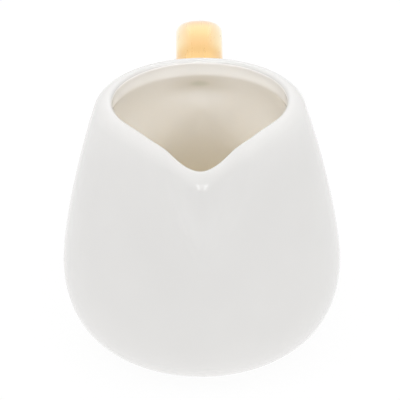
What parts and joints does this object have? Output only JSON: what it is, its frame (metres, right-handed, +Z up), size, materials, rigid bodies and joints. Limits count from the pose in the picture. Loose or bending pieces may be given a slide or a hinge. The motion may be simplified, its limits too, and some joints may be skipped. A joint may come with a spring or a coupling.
{
  "type": "milk jug",
  "caption": "Small glazed porcelain milk jug with an egg-shaped body, a pulled V spout over a teardrop mouth and a gilded strap handle.",
  "frame": {"origin": "on the table, under the middle of the whole jug", "axes": "+Z up; the spout looks along -Y and the handle stands behind on +Y"},
  "size_m": [0.085, 0.1144, 0.081],
  "materials": {
    "porcelain": "bare fired porcelain",
    "white_glaze": "glossy white glaze",
    "cream_glaze": "glossy cream glaze",
    "gold": "satin gold lustre"
  },
  "bodies": {
    "root": {"porcelain_body": "porcelain", "outside_glaze": "white_glaze", "inside_glaze": "cream_glaze", "recess_glaze": "white_glaze", "upper_slip_joint": "white_glaze", "lower_slip_joint": "white_glaze", "handle": "white_glaze", "handle_gilding": "gold"}
  },
  "joints": []
}
